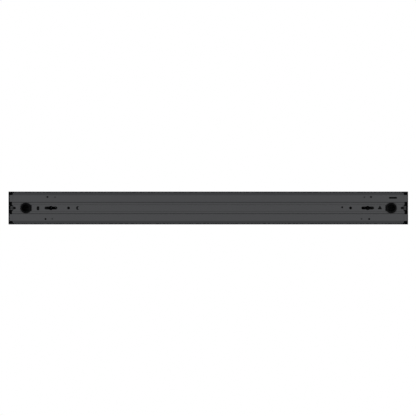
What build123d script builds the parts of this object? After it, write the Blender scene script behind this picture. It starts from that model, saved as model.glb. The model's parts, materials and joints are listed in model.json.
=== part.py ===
from build123d import *
import os
from math import radians, tan

os.makedirs("parts", exist_ok=True)

# A 4 ft LED strip batten with its gear, every piece a separate solid. Millimetres.
# +X runs along the batten, +Z is up and -Y points at the wall that it is fixed to.
# y = 0 is the mounting face, and the origin is midway between the two keyholes.

# Overall size
KEYHOLE_SPACING = 966.7
LEFT_MARGIN = 129.4
RIGHT_MARGIN = 123.1
LEFT_END = -KEYHOLE_SPACING / 2 - LEFT_MARGIN
RIGHT_END = KEYHOLE_SPACING / 2 + RIGHT_MARGIN
MIDDLE = (LEFT_END + RIGHT_END) / 2
HALF_HEIGHT = 50.25
DEPTH = 66.0

# Channel: folded sheet steel, with a recessed band along its middle
SHEET = 0.8
BEND = 1.2
RECESS = 4.6
RIB_RISE = 1.7
RIB_DEPTH = RECESS - RIB_RISE
LAND_EDGE = 39.0
STEP_TOP = 18.5
STEP_FOOT = 15.6
RIB_EDGE = 11.2
RIB_TOP = 9.6
SHOULDER = (7.0, 45.8)
SIDE_START = (17.5, HALF_HEIGHT)
LIP_DEPTH = 40.0
LIP_EDGE = 46.6
CHANNEL_HALF = [
    (LIP_DEPTH, LIP_EDGE),
    (LIP_DEPTH, HALF_HEIGHT),
    SIDE_START,
    SHOULDER,
    (0.0, LAND_EDGE),
    (0.0, STEP_TOP),
    (RECESS, STEP_FOOT),
    (RECESS, RIB_EDGE),
    (RIB_DEPTH, RIB_TOP),
]

# Holes in the channel's back. Distances run from the nearer end.
KEYHOLE_LENGTH = 38.9
KEYHOLE_SLOT = 9.0
KEYHOLE_RADIUS = 6.5
LEFT_ENTRY = LEFT_END + 52.5
RIGHT_ENTRY = RIGHT_END - 51.0
ENTRY_RADIUS = 14.3
LEFT_OVAL = (LEFT_END + 90.0, -0.9)
LEFT_FIXING = LEFT_END + 183.2
RIGHT_FIXING = RIGHT_END - 175.3
FIXING_RADIUS = 4.2
OVAL = (12.6, 8.0)
LEFT_CRESCENT = LEFT_END + 212.1
CRESCENT_RADIUS = 5.6
CRESCENT_BITE = (3.8, 4.7)
TRIANGLE_PLACE = (RIGHT_END - 85.9, 0.0)
TRIANGLE_RADIUS = 7.8
TRIANGLE_CORNER = 0.8
RIGHT_PILOT = (RIGHT_END - 200.9, 2.2)
PILOT_RADIUS = 2.9
HANGER_HEIGHT = 33.6
HANGER_NEAR = 113.0
HANGER_FAR = 118.7
HANGER_RADIUS = 2.8
RIVET_HEIGHT = 33.0
RIVET_NEAR = 133.5
RIVET_FAR = 142.0
RIVET_HOLE = 2.2
RIVET_RING = 3.0
RIVET_SLOT = (10.0, 5.0)
EMBOSS_DEPTH = 0.4
HOLE_CUT = RECESS + SHEET + 2
CUT_DEPTH = 6.0

# End caps
CAP_WALL = 3.2
CAP_SPIGOT = 16.0
CAP_CORNER = 14.0
CAP_CHAMFER = 0.6
CAP_TONGUE = (24.0, 16.0, 5.0)
CAP_BOSS = 4.5
CAP_BOSS_LENGTH = 6.0
CAP_SCREW = 18.2
CAP_SCREW_HEAD = (3.8, 1.6)
CAP_PILOT = 1.6
CAP_SCREW_HOLE = 1.8
CORNER_NOTCH = [(0, 39.5), (12, 39.5), (13.6, 45), (18.6, HALF_HEIGHT), (18.6, 52), (0, 52)]
CENTRE_NOTCH = [
    (0, 19), (10.8, 19), (10.8, 10.2), (13.4, 7.6), (15.4, 5.6), (15.4, 4.3), (12.9, 4.3),
    (12.9, 4.5), (5.6, 4.5), (5.6, 1.6), (12.9, 1.6), (12.9, 3.4), (15.4, 3.4),
]
WITNESS_LINE = (12.8, 29.0)
WITNESS_SIZE = (0.8, 18.0)
WITNESS_DEPTH = 0.25
KNOCKOUT_DEPTH = 28.0
KNOCKOUT_RING = (11.4, 11.0, 0.5)

# Tray, boards and lens
TRAY_FACE = 35.0
TRAY_SHEET = 0.7
TRAY_REAR = TRAY_FACE - TRAY_SHEET
TRAY_PATH = [(42.0, -43.6), (TRAY_FACE, -37.0), (TRAY_FACE, 37.0), (42.0, 43.6)]
BRACKET_PLACE = (RIVET_NEAR + RIVET_FAR) / 2
BRACKET_WIDTH = 26.0
BRACKET_SHEET = 1.2
BRACKET_LEG = 27.5
TRAY_SCREW_OFFSET = 7.0
BOARD_LENGTH = 596.0
BOARD_HEIGHT = 14.0
BOARD_THICK = 1.6
BOARD_GAP = 4.0
BOARD_ROW = 18.0
LED_COUNT = 28
LENS_WALL = 1.6
LENS_CORNER = 13.6
LENS_HALF = [(DEPTH - 0.4, 49.8), (LIP_DEPTH + 0.6, 49.8), (LIP_DEPTH + 0.6, 46.2), (36.5, 46.2)]

# Driver, on the back of the tray
DRIVER_LENGTH = 300.0
DRIVER_HALF = 17.0
DRIVER_SHEET = 0.8
DRIVER_TOP = 14.3
DRIVER_FLANGE = 12.0
DRIVER_BOARD = 28.9

# Terminal block, on the back of the tray
BLOCK_LEFT = MIDDLE - 262.0
BLOCK_LENGTH = 30.0
BLOCK_TOP = 20.3
BLOCK_HALF = 13.0
POLE_PITCH = 8.0
POLES = {"line": POLE_PITCH, "neutral": 0.0, "earth": -POLE_PITCH}
PIVOT = (BLOCK_LEFT + 17.0, 23.0)
PIVOT_PIN = 0.8
LEVER_WIDTH = 6.2

# Selector switches, behind the upper land at the right end
SELECTOR = (RIGHT_END - 46.0, 31.1)
WINDOW = (24.0, 5.3)
KNOB_PITCH = 12.0
KNOB_TRAVEL = 3.0

# Leads
CORE_WIDTH = 2.4
PAIR_WIDTH = 3.0
RIBBON_WIDTH = 3.2


def save(piece, name):
    """Label a finished piece and write it under its name."""
    piece.part.label = name
    export_step(piece.part, f"parts/{name}.step")


def wall_plane(depth):
    """A plane parallel to the wall: local x is +X, local y is +Z, and a negative extrusion goes deeper."""
    return Plane.XZ.offset(-depth)


def cross_plane(x):
    """A plane square to the length: local x is the depth, local y is +Z, and extrusions go along +X."""
    return Plane.YZ.offset(x)


def both_halves(points):
    """A path down the upper half of the section, then the same path back up the lower half."""
    return points + [(depth, -height) for depth, height in reversed(points)]


def folded(points, radius, thickness, side, start, length):
    """Sheet folded along a path in the cross-section, running along +X from start."""
    with BuildPart() as sheet:
        with BuildSketch(cross_plane(start)):
            with BuildLine():
                FilletPolyline(*points, radius=radius)
                offset(amount=thickness, side=side)
            make_face()
        extrude(amount=length)
    return sheet


def block(x_range, y_range, z_range):
    """A plain rectangular block between three pairs of limits."""
    with BuildPart() as solid:
        with BuildSketch(wall_plane(y_range[0])):
            with Locations(((x_range[0] + x_range[1]) / 2, (z_range[0] + z_range[1]) / 2)):
                Rectangle(x_range[1] - x_range[0], z_range[1] - z_range[0])
        extrude(amount=y_range[0] - y_range[1])
    return solid


def screw(head_radius, head_height, shank_radius, shank_length):
    """A cross-recessed pan head screw: the head stands on local XY and the shank points down."""
    with BuildPart() as body:
        with BuildSketch(Plane.XZ):
            with BuildLine():
                outline = Polyline(
                    (head_radius * 0.6, head_height), (0, head_height), (0, -shank_length),
                    (shank_radius * 0.5, -shank_length), (shank_radius, -shank_length + shank_radius),
                    (shank_radius, 0), (head_radius, 0), (head_radius, head_height * 0.4))
                ThreePointArc(outline @ 1, (head_radius * 0.88, head_height * 0.82), outline @ 0)
            make_face()
        revolve(axis=Axis.Z)
        with BuildSketch(Plane.XY.offset(head_height)):
            Rectangle(head_radius * 1.1, head_radius * 0.22)
            Rectangle(head_radius * 0.22, head_radius * 1.1)
        extrude(amount=-head_height * 0.6, mode=Mode.SUBTRACT)
    return body


def arc_radii(points):
    """For each corner of a route, the largest arc that leaves both of its runs a short straight."""
    corners = [Vector(*point) for point in points]
    radii = []
    for before, at, after in zip(corners, corners[1:], corners[2:]):
        run_in = at - before
        run_out = after - at
        half_turn = radians(run_in.get_angle(run_out)) / 2
        radii.append(0.45 * min(run_in.length, run_out.length) / tan(half_turn))
    return radii


def lead(points, width):
    """A round lead: straight runs joined by tangent arcs."""
    with BuildPart() as cord:
        with BuildLine() as route:
            FilletPolyline(*points, radius=arc_radii(points))
        with BuildSketch(Plane(route.line @ 0, z_dir=route.line % 0)):
            Circle(width / 2)
        sweep(path=route.line)
    return cord


# Back channel -----------------------------------------------------------------------------------
def notch_outline(points, end, inward):
    """Distances from the end and heights, as points on a plane parallel to the wall."""
    return [(end + inward * distance, height) for distance, height in points]


channel_sheet = folded(
    both_halves(CHANNEL_HALF), BEND, SHEET, Side.LEFT,
    LEFT_END + CAP_WALL, RIGHT_END - LEFT_END - 2 * CAP_WALL,
)
ENDS = {"left": (LEFT_END, 1), "right": (RIGHT_END, -1)}

with BuildPart() as back_channel:
    add(channel_sheet)
    for end, inward in ENDS.values():
        witness_x = end + inward * WITNESS_LINE[0]
        far_rivet = (end + inward * RIVET_FAR, inward * RIVET_HEIGHT)
        near_rivet = (end + inward * RIVET_NEAR, -inward * RIVET_HEIGHT)
        for mirror_sign in (1, -1):
            corner = [(distance, mirror_sign * height) for distance, height in CORNER_NOTCH]
            with BuildSketch(wall_plane(-1)):
                Polygon(*notch_outline(corner, end, inward), align=None)
            extrude(amount=-LIP_DEPTH - 2, mode=Mode.SUBTRACT)
        centre = CENTRE_NOTCH + [(distance, -height) for distance, height in reversed(CENTRE_NOTCH)]
        with BuildSketch(wall_plane(-1)):
            Polygon(*notch_outline(centre, end, inward), align=None)
        extrude(amount=-HOLE_CUT, mode=Mode.SUBTRACT)
        with BuildSketch(wall_plane(0)):
            with Locations((witness_x, WITNESS_LINE[1]), (witness_x, -WITNESS_LINE[1])):
                Rectangle(*WITNESS_SIZE)
        extrude(amount=-WITNESS_DEPTH, mode=Mode.SUBTRACT)
        with BuildSketch(wall_plane(0)):
            with Locations(far_rivet):
                Circle(RIVET_RING)
            with Locations(near_rivet):
                SlotOverall(*RIVET_SLOT)
        extrude(amount=-EMBOSS_DEPTH, mode=Mode.SUBTRACT)
        with BuildSketch(wall_plane(-1)):
            with Locations((end + inward * CAP_SCREW, 0)):
                Circle(CAP_SCREW_HOLE)
            with Locations(far_rivet, near_rivet):
                Circle(RIVET_HOLE)
            with Locations((end + inward * HANGER_FAR, inward * HANGER_HEIGHT),
                           (end + inward * HANGER_NEAR, -inward * HANGER_HEIGHT)):
                Circle(HANGER_RADIUS)
        extrude(amount=-HOLE_CUT, mode=Mode.SUBTRACT)
    with BuildSketch(wall_plane(-1)):
        with Locations((-KEYHOLE_SPACING / 2, 0), (KEYHOLE_SPACING / 2, 0)):
            SlotOverall(KEYHOLE_LENGTH, KEYHOLE_SLOT)
            Circle(KEYHOLE_RADIUS)
        with Locations((LEFT_ENTRY, 0), (RIGHT_ENTRY, 0)):
            Circle(ENTRY_RADIUS)
        with Locations((LEFT_FIXING, 0), (RIGHT_FIXING, 0)):
            Circle(FIXING_RADIUS)
        with Locations(LEFT_OVAL):
            SlotOverall(*OVAL, rotation=90)
        with Locations(RIGHT_PILOT):
            Circle(PILOT_RADIUS)
        with Locations(SELECTOR):
            RectangleRounded(*WINDOW, 1)
    extrude(amount=-HOLE_CUT, mode=Mode.SUBTRACT)
    with BuildSketch(wall_plane(-1)):
        with Locations((LEFT_CRESCENT, 0)):
            Circle(CRESCENT_RADIUS)
        with Locations((LEFT_CRESCENT + CRESCENT_BITE[0], 0)):
            Circle(CRESCENT_BITE[1], mode=Mode.SUBTRACT)
    extrude(amount=-HOLE_CUT, mode=Mode.SUBTRACT)
    with BuildSketch(wall_plane(-1)) as triangle:
        with Locations(TRIANGLE_PLACE):
            RegularPolygon(TRIANGLE_RADIUS, 3, rotation=90)
        fillet(triangle.vertices(), TRIANGLE_CORNER)
    extrude(amount=-HOLE_CUT, mode=Mode.SUBTRACT)
save(back_channel, "back_channel")


# End caps ---------------------------------------------------------------------------------------
CAP_OUTLINE = [(DEPTH, HALF_HEIGHT), (LIP_DEPTH, HALF_HEIGHT), SIDE_START, SHOULDER, (0.0, LAND_EDGE)]
CAP_RADII = [CAP_CORNER, 0, 0, 0, BEND]
POCKET_HALF = [(LIP_DEPTH + 1, 46.9), (18.5, 46.9), (8.8, 42.9), (5.5, 39.4), (5.5, 21.0), (7.6, 18.0)]
LAND_RELIEF = (13.5, 29.0)
LAND_RELIEF_SIZE = (9.0, 19.0)


def end_cap(end, inward):
    """A moulded cap: its wall closes the whole section, and its spigot keys into the channel's end."""
    outline = both_halves(CAP_OUTLINE)
    inside = end + inward * CAP_WALL
    screw_x = end + inward * CAP_SCREW
    relief_x = end + inward * LAND_RELIEF[0]
    with BuildPart() as cap:
        with BuildSketch(cross_plane(end)):
            with BuildLine():
                FilletPolyline(*outline, radius=CAP_RADII + CAP_RADII[::-1], close=True)
            make_face()
        extrude(amount=inward * CAP_WALL)
        chamfer(cap.faces().filter_by(Plane.YZ).sort_by(Axis.X)[0 if inward > 0 else -1].edges(), CAP_CHAMFER)
        with BuildSketch(cross_plane(end)):
            with Locations((KNOCKOUT_DEPTH, 0)):
                Circle(KNOCKOUT_RING[0])
                Circle(KNOCKOUT_RING[1], mode=Mode.SUBTRACT)
        extrude(amount=inward * KNOCKOUT_RING[2], mode=Mode.SUBTRACT)
        with BuildSketch(cross_plane(inside)):
            with BuildLine():
                path = FilletPolyline(*both_halves(CHANNEL_HALF), radius=BEND)
                Line(path @ 1, path @ 0)
            make_face()
        extrude(amount=inward * CAP_SPIGOT)
        with BuildSketch(cross_plane(inside)):
            Polygon(*both_halves(POCKET_HALF), align=None)
        extrude(amount=inward * CAP_SPIGOT, mode=Mode.SUBTRACT)
        with BuildSketch(wall_plane(RIB_DEPTH)):
            with Locations((inside + inward * CAP_TONGUE[0] / 2, 0)):
                Rectangle(CAP_TONGUE[0], CAP_TONGUE[1])
        extrude(amount=-CAP_TONGUE[2])
        with BuildSketch(wall_plane(RIB_DEPTH + CAP_TONGUE[2])):
            with Locations((screw_x, 0)):
                Circle(CAP_BOSS)
        extrude(amount=-CAP_BOSS_LENGTH)
        with BuildSketch(wall_plane(0)):
            with Locations((screw_x, 0)):
                Circle(CAP_PILOT)
        extrude(amount=-11, mode=Mode.SUBTRACT)
        add(back_channel, mode=Mode.SUBTRACT)
        with BuildSketch(wall_plane(0)):
            with Locations((relief_x, LAND_RELIEF[1]), (relief_x, -LAND_RELIEF[1])):
                Rectangle(*LAND_RELIEF_SIZE)
        extrude(amount=-SHEET, mode=Mode.SUBTRACT)
    return cap


end_cap_left = end_cap(*ENDS["left"])
save(end_cap_left, "end_cap_left")
end_cap_right = end_cap(*ENDS["right"])
save(end_cap_right, "end_cap_right")

cap_screw = screw(*CAP_SCREW_HEAD, 1.5, 8)
with BuildPart() as end_cap_screws:
    for end, inward in ENDS.values():
        with Locations(Location((end + inward * CAP_SCREW, RIB_DEPTH, 0), (90, 0, 0))):
            add(cap_screw)
save(end_cap_screws, "end_cap_screws")


# Cable entry bushings ---------------------------------------------------------------------------
FLANGE_FACE = 0.9
FLANGE_RADIUS = 16.2
TAB_REACH = 17.5
TAB_HEIGHT = 18.0
BARREL_RADIUS = 14.1
BARREL_END = 13.0
BORE_RADIUS = 11.1
FLANGE_CHAMFER = 0.4
LATCH_GAP = 0.3
LATCH_RISE = 0.9
LATCH_LENGTH = 2.4
LATCH_TAPER = 12
SLIT = (2.0, 40.0)


def entry_bushing(x, inward):
    """A push-fit cable bushing with a pry tab on the side of the batten's middle."""
    with BuildPart() as bushing:
        with BuildSketch(wall_plane(FLANGE_FACE)):
            with Locations((x, 0)):
                Circle(FLANGE_RADIUS)
            with Locations((x + inward * TAB_REACH / 2, 0)):
                Rectangle(TAB_REACH, TAB_HEIGHT)
        extrude(amount=FLANGE_FACE - RECESS)
        chamfer(bushing.faces().sort_by(Axis.Y)[0].edges(), FLANGE_CHAMFER)
        with BuildSketch(wall_plane(RECESS)):
            with Locations((x, 0)):
                Circle(BARREL_RADIUS)
        extrude(amount=RECESS - BARREL_END)
        with BuildSketch(wall_plane(RECESS + SHEET + LATCH_GAP)):
            with Locations((x, 0)):
                Circle(BARREL_RADIUS + LATCH_RISE)
        extrude(amount=-LATCH_LENGTH, taper=LATCH_TAPER)
        with BuildSketch(wall_plane(RECESS + SHEET)):
            with Locations((x, 0)):
                Rectangle(*SLIT)
                Rectangle(*SLIT[::-1])
        extrude(amount=-BARREL_END, mode=Mode.SUBTRACT)
        with BuildSketch(wall_plane(0)):
            with Locations((x, 0)):
                Circle(BORE_RADIUS)
        extrude(amount=-BARREL_END - 1, mode=Mode.SUBTRACT)
        add(back_channel, mode=Mode.SUBTRACT)
    return bushing


entry_bushing_left = entry_bushing(LEFT_ENTRY, 1)
save(entry_bushing_left, "entry_bushing_left")
entry_bushing_right = entry_bushing(RIGHT_ENTRY, -1)
save(entry_bushing_right, "entry_bushing_right")


# Tray brackets and their rivets -----------------------------------------------------------------
BRACKET_FOOT = 38.0
BRACKET_BEND = 1.6
RIVET_SHANK = 1.8
SCREW_CLEARANCE = 1.8
BRACKET_PATH = [
    (SHEET, -BRACKET_FOOT),
    (SHEET, -BRACKET_LEG),
    (TRAY_REAR - BRACKET_SHEET, -BRACKET_LEG),
    (TRAY_REAR - BRACKET_SHEET, BRACKET_LEG),
    (SHEET, BRACKET_LEG),
    (SHEET, BRACKET_FOOT),
]


def tray_bracket(end, inward):
    """A steel bridge riveted to both lands, with its top under the tray."""
    middle = end + inward * BRACKET_PLACE
    start = middle - BRACKET_WIDTH / 2
    sheet = folded(BRACKET_PATH, BRACKET_BEND, BRACKET_SHEET, Side.RIGHT, start, BRACKET_WIDTH)
    with BuildPart() as bracket:
        add(sheet)
        with BuildSketch(wall_plane(0)):
            with Locations((end + inward * RIVET_FAR, inward * RIVET_HEIGHT),
                           (end + inward * RIVET_NEAR, -inward * RIVET_HEIGHT)):
                Circle(RIVET_SHANK)
        extrude(amount=-CUT_DEPTH, mode=Mode.SUBTRACT)
        with BuildSketch(wall_plane(TRAY_REAR)):
            with Locations((middle - TRAY_SCREW_OFFSET, 0), (middle + TRAY_SCREW_OFFSET, 0)):
                Circle(SCREW_CLEARANCE)
        extrude(amount=CUT_DEPTH, mode=Mode.SUBTRACT)
    return bracket


tray_bracket_left = tray_bracket(*ENDS["left"])
save(tray_bracket_left, "tray_bracket_left")
tray_bracket_right = tray_bracket(*ENDS["right"])
save(tray_bracket_right, "tray_bracket_right")

with BuildPart() as rivet:
    with BuildSketch(Plane.XZ):
        Polygon((0, EMBOSS_DEPTH), (2.1, EMBOSS_DEPTH), (2.1, SHEET), (1.7, SHEET),
                (1.7, SHEET + BRACKET_SHEET), (2.8, SHEET + BRACKET_SHEET), (2.2, 3.1), (0, 3.1),
                align=None)
    revolve(axis=Axis.Z)
with BuildPart() as bracket_rivets:
    for end, inward in ENDS.values():
        with Locations(Location((end + inward * RIVET_FAR, 0, inward * RIVET_HEIGHT), (-90, 0, 0)),
                       Location((end + inward * RIVET_NEAR, 0, -inward * RIVET_HEIGHT), (-90, 0, 0))):
            add(rivet)
save(bracket_rivets, "bracket_rivets")


# Gear tray --------------------------------------------------------------------------------------
TRAY_START = LEFT_END + CAP_WALL + 1.0
TRAY_LENGTH = RIGHT_END - LEFT_END - 2 * CAP_WALL - 2.0
GROMMET_PLACE = MIDDLE + 172.0
GROMMET_RADIUS = 5.0
EARTH_PLACE = (MIDDLE - 200.0, -31.0)
BOARD_SIDES = {"left": -1, "right": 1}
BOARD_OFFSET = (BOARD_GAP + BOARD_LENGTH) / 2
BOARD_ROWS = {"upper": BOARD_ROW, "lower": -BOARD_ROW}
LED_PITCH = BOARD_LENGTH / LED_COUNT
RIVET_STEPS = (-4, 4, 12)
DRIVER_SCREWS = [(MIDDLE - DRIVER_LENGTH / 2 - 6, 0), (MIDDLE + DRIVER_LENGTH / 2 + 6, 0)]
BLOCK_SCREWS = [(BLOCK_LEFT - 3.5, 0), (BLOCK_LEFT + BLOCK_LENGTH + 3.5, -4)]
TRAY_SCREWS = [
    (end + inward * (BRACKET_PLACE + offset_sign * TRAY_SCREW_OFFSET), 0)
    for end, inward in ENDS.values() for offset_sign in (-1, 1)
]
RIVET_PLACES = {
    side_name: [MIDDLE + outward * (BOARD_OFFSET + step * LED_PITCH) for step in RIVET_STEPS]
    for side_name, outward in BOARD_SIDES.items()
}
BOARD_RIVETS = [
    (place, height) for places in RIVET_PLACES.values() for place in places for height in BOARD_ROWS.values()
]

tray_sheet = folded(TRAY_PATH, 1.5, TRAY_SHEET, Side.LEFT, TRAY_START, TRAY_LENGTH)
with BuildPart() as gear_tray:
    add(tray_sheet)
    with BuildSketch(wall_plane(TRAY_REAR - 1)):
        with Locations(*TRAY_SCREWS, *BOARD_RIVETS):
            Circle(1.8)
        with Locations(*DRIVER_SCREWS, *BLOCK_SCREWS, EARTH_PLACE):
            Circle(1.6)
        with Locations((GROMMET_PLACE, 0)):
            Circle(GROMMET_RADIUS)
    extrude(amount=-4, mode=Mode.SUBTRACT)
save(gear_tray, "gear_tray")

tray_screw = screw(3.6, 2.3, 1.6, 7)
with BuildPart() as tray_screws:
    for x, z in TRAY_SCREWS:
        with Locations(Location((x, TRAY_FACE, z), (-90, 0, 0))):
            add(tray_screw)
save(tray_screws, "tray_screws")


# LED boards -------------------------------------------------------------------------------------
def led_board(centre, height, rivet_places):
    """An aluminium-backed board with holes for its rivets."""
    with BuildPart() as board:
        with BuildSketch(wall_plane(TRAY_FACE)):
            with Locations((centre, height)):
                RectangleRounded(BOARD_LENGTH, BOARD_HEIGHT, 1)
            with Locations(*[(place, height) for place in rivet_places]):
                Circle(1.8, mode=Mode.SUBTRACT)
        extrude(amount=-BOARD_THICK)
    return board


def led_packages(centre, height):
    """The row of surface-mounted LEDs on one board."""
    with BuildPart() as packages:
        with BuildSketch(wall_plane(TRAY_FACE + BOARD_THICK)):
            with Locations((centre, height)):
                with GridLocations(LED_PITCH, 1, LED_COUNT, 1):
                    Rectangle(3.5, 2.8)
        extrude(amount=-0.7)
    return packages


for row_name, height in BOARD_ROWS.items():
    for side_name, outward in BOARD_SIDES.items():
        centre = MIDDLE + outward * BOARD_OFFSET
        save(led_board(centre, height, RIVET_PLACES[side_name]), f"led_board_{row_name}_{side_name}")
        save(led_packages(centre, height), f"led_packages_{row_name}_{side_name}")

board_rivet = screw(2.6, 1.2, 1.6, 5.5)
with BuildPart() as board_rivets:
    for x, z in BOARD_RIVETS:
        with Locations(Location((x, TRAY_FACE + BOARD_THICK, z), (-90, 0, 0))):
            add(board_rivet)
save(board_rivets, "board_rivets")

FEED_PLACE = MIDDLE + BOARD_OFFSET - 5 * LED_PITCH
with BuildPart() as board_jumpers:
    with BuildSketch(wall_plane(TRAY_FACE + BOARD_THICK)):
        with Locations((MIDDLE, BOARD_ROW), (MIDDLE, -BOARD_ROW)):
            Rectangle(14, 7)
    extrude(amount=-3.6)
    chamfer(board_jumpers.faces().filter_by(Plane.XZ).group_by(Axis.Y)[-1].edges(), 0.5)
save(board_jumpers, "board_jumpers")

with BuildPart() as feed_connectors:
    with BuildSketch(wall_plane(TRAY_FACE + BOARD_THICK)):
        with Locations((FEED_PLACE, BOARD_ROW), (FEED_PLACE, -BOARD_ROW)):
            Rectangle(10, 8)
    extrude(amount=-4.4)
    chamfer(feed_connectors.faces().filter_by(Plane.XZ).group_by(Axis.Y)[-1].edges(), 0.5)
save(feed_connectors, "feed_connectors")


# Driver -----------------------------------------------------------------------------------------
DRIVER_LEFT = MIDDLE - DRIVER_LENGTH / 2
DRIVER_RIGHT = MIDDLE + DRIVER_LENGTH / 2
BASE_PATH = [(22.0, -DRIVER_HALF), (TRAY_REAR, -DRIVER_HALF), (TRAY_REAR, DRIVER_HALF), (22.0, DRIVER_HALF)]

base_sheet = folded(BASE_PATH, 1.2, DRIVER_SHEET, Side.LEFT, DRIVER_LEFT + 1, DRIVER_LENGTH - 2)
with BuildPart() as driver_base:
    add(base_sheet)
    with BuildSketch(wall_plane(TRAY_REAR)):
        with Locations((DRIVER_LEFT, 0), (DRIVER_RIGHT, 0)):
            RectangleRounded(2 * DRIVER_FLANGE, 20, 2)
        with Locations(*DRIVER_SCREWS):
            Circle(1.8, mode=Mode.SUBTRACT)
    extrude(amount=DRIVER_SHEET)
save(driver_base, "driver_base")

with BuildPart() as driver_cover:
    with BuildSketch(wall_plane(DRIVER_TOP)):
        with Locations((MIDDLE, 0)):
            Rectangle(DRIVER_LENGTH, 2 * (DRIVER_HALF + DRIVER_SHEET + 0.1))
    extrude(amount=DRIVER_TOP - (TRAY_REAR - DRIVER_SHEET))
    fillet(driver_cover.edges().filter_by(Axis.X).group_by(Axis.Y)[0], 1.0)
    with BuildSketch(wall_plane(DRIVER_TOP + DRIVER_SHEET)):
        with Locations((MIDDLE, 0)):
            Rectangle(DRIVER_LENGTH - 2 * DRIVER_SHEET, 2 * (DRIVER_HALF + 0.1))
    extrude(amount=-30, mode=Mode.SUBTRACT)
    with BuildSketch(cross_plane(DRIVER_LEFT - 1)):
        with Locations((26, 0)):
            Rectangle(17, 2 * DRIVER_HALF - 8)
    extrude(amount=3, mode=Mode.SUBTRACT)
    with BuildSketch(cross_plane(DRIVER_RIGHT - 2)):
        with Locations((26, 0)):
            Rectangle(17, 2 * DRIVER_HALF - 8)
    extrude(amount=3, mode=Mode.SUBTRACT)
save(driver_cover, "driver_cover")

driver_board = block(
    (DRIVER_LEFT + 6, DRIVER_RIGHT - 6),
    (DRIVER_BOARD, DRIVER_BOARD + BOARD_THICK),
    (-DRIVER_HALF + 1.5, DRIVER_HALF - 1.5),
)
save(driver_board, "driver_board")

with BuildPart() as driver_standoffs:
    with BuildSketch(wall_plane(DRIVER_BOARD + BOARD_THICK)):
        with Locations((MIDDLE, 0)):
            with GridLocations(DRIVER_LENGTH - 30, 24, 2, 2):
                Circle(2.5)
    extrude(amount=DRIVER_BOARD + BOARD_THICK - (TRAY_REAR - DRIVER_SHEET))
save(driver_standoffs, "driver_standoffs")

with BuildPart() as driver_transformer:
    with BuildSketch(wall_plane(DRIVER_BOARD)):
        with Locations((MIDDLE + 30, 0)):
            Rectangle(28, 26)
    extrude(amount=2.5)
    with BuildSketch(wall_plane(DRIVER_BOARD - 2.5)):
        with Locations((MIDDLE + 30, 0)):
            Rectangle(24, 18)
    extrude(amount=6)
    with BuildSketch(wall_plane(DRIVER_BOARD - 8.5)):
        with Locations((MIDDLE + 30, 0)):
            Rectangle(28, 26)
    extrude(amount=3)
save(driver_transformer, "driver_transformer")

with BuildPart() as driver_capacitors:
    for place, radius in ((MIDDLE - 60, 5.0), (MIDDLE + 85, 4.0)):
        with BuildSketch(cross_plane(place)):
            with Locations((DRIVER_BOARD - radius, 4)):
                Circle(radius)
        extrude(amount=22)
save(driver_capacitors, "driver_capacitors")

with BuildPart() as driver_choke:
    with BuildSketch(wall_plane(DRIVER_BOARD)):
        with Locations((MIDDLE - 100, 0)):
            Circle(9)
            Circle(4, mode=Mode.SUBTRACT)
    extrude(amount=8)
    fillet(driver_choke.edges(), 1.5)
save(driver_choke, "driver_choke")

CONNECTOR_DEPTH = 18.9
with BuildPart() as driver_connectors:
    with BuildSketch(wall_plane(DRIVER_BOARD)):
        with Locations((DRIVER_LEFT + 5.5, 0), (DRIVER_RIGHT - 5.5, 0)):
            Rectangle(13, 24)
    extrude(amount=DRIVER_BOARD - CONNECTOR_DEPTH)
    fillet(driver_connectors.edges().filter_by(Axis.Z).group_by(Axis.Y)[0], 1)
save(driver_connectors, "driver_connectors")

gear_screw = screw(3.0, 2.0, 1.4, 4.5)
with BuildPart() as driver_screws:
    for x, z in DRIVER_SCREWS:
        with Locations(Location((x, TRAY_REAR - DRIVER_SHEET, z), (90, 0, 0))):
            add(gear_screw)
save(driver_screws, "driver_screws")


# Terminal block ---------------------------------------------------------------------------------
BLOCK_RIGHT = BLOCK_LEFT + BLOCK_LENGTH
ENTRY_DEPTH = 29.0
LEVER_SLOT = (BLOCK_LEFT - 1.0, PIVOT[0] + 3.2)

with BuildPart() as terminal_block:
    with BuildSketch(wall_plane(BLOCK_TOP)):
        with Locations((BLOCK_LEFT + BLOCK_LENGTH / 2, 0)):
            Rectangle(BLOCK_LENGTH, 2 * BLOCK_HALF)
    extrude(amount=BLOCK_TOP - TRAY_REAR)
    chamfer(terminal_block.edges().filter_by(Axis.Z).group_by(Axis.Y)[0], 1.0)
    with BuildSketch(wall_plane(TRAY_REAR)):
        with Locations(*BLOCK_SCREWS):
            RectangleRounded(9, 9, 1.5)
        with Locations(*BLOCK_SCREWS):
            Circle(1.8, mode=Mode.SUBTRACT)
        with Locations((BLOCK_LEFT + BLOCK_LENGTH / 2, 0)):
            Rectangle(BLOCK_LENGTH, 2 * BLOCK_HALF, mode=Mode.SUBTRACT)
    extrude(amount=2.0)
    for pole in POLES.values():
        with BuildSketch(wall_plane(BLOCK_TOP)):
            with Locations(((LEVER_SLOT[0] + LEVER_SLOT[1]) / 2, pole)):
                Rectangle(LEVER_SLOT[1] - LEVER_SLOT[0], LEVER_WIDTH + 0.5)
        extrude(amount=-5.4, mode=Mode.SUBTRACT)
        with BuildSketch(cross_plane(BLOCK_LEFT)):
            with Locations((ENTRY_DEPTH, pole)):
                Circle(2.1)
        extrude(amount=BLOCK_LENGTH, mode=Mode.SUBTRACT)
        with BuildSketch(wall_plane(26.4)):
            with Locations((BLOCK_LEFT + 14, pole)):
                Rectangle(12, 5.6)
        extrude(amount=-5.6, mode=Mode.SUBTRACT)
    with BuildSketch(Plane.XY.offset(-BLOCK_HALF)):
        with Locations(PIVOT):
            Circle(PIVOT_PIN)
    extrude(amount=2 * BLOCK_HALF, mode=Mode.SUBTRACT)
save(terminal_block, "terminal_block")

with BuildPart() as terminal_pin:
    with BuildSketch(Plane.XY.offset(-BLOCK_HALF)):
        with Locations(PIVOT):
            Circle(PIVOT_PIN)
    extrude(amount=2 * BLOCK_HALF)
save(terminal_pin, "terminal_pin")


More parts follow.
